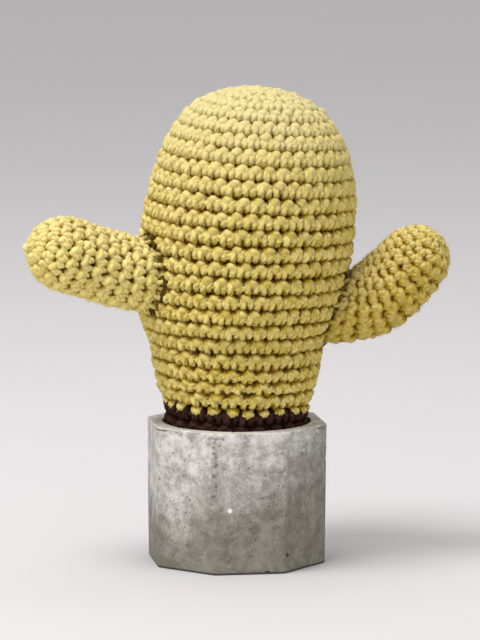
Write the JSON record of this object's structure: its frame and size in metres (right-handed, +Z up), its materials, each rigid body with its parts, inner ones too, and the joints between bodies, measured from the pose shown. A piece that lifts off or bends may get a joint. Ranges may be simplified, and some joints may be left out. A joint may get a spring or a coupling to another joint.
{
  "type": "potted crocheted cactus",
  "caption": "Stuffed crocheted saguaro with two sewn-on arms, standing on a brown crocheted soil cup in a small octagonal concrete pot with a round bore.",
  "frame": {"origin": "centre of the pot's flat underside", "axes": "+Z up through the pot, -Y towards the front, +X towards the cactus's upturned arm"},
  "size_m": [0.1952, 0.0996, 0.2221],
  "materials": {
    "green_yarn": "matte",
    "brown_yarn": "matte",
    "concrete": "matte",
    "stuffing": "matte"
  },
  "bodies": {
    "root": {"pot": "concrete", "soil_crochet": "brown_yarn", "body_crochet": "green_yarn", "body_stuffing": "stuffing", "arm_left_crochet": "green_yarn", "arm_left_stuffing": "stuffing", "arm_right_crochet": "green_yarn", "arm_right_stuffing": "stuffing"}
  },
  "joints": []
}
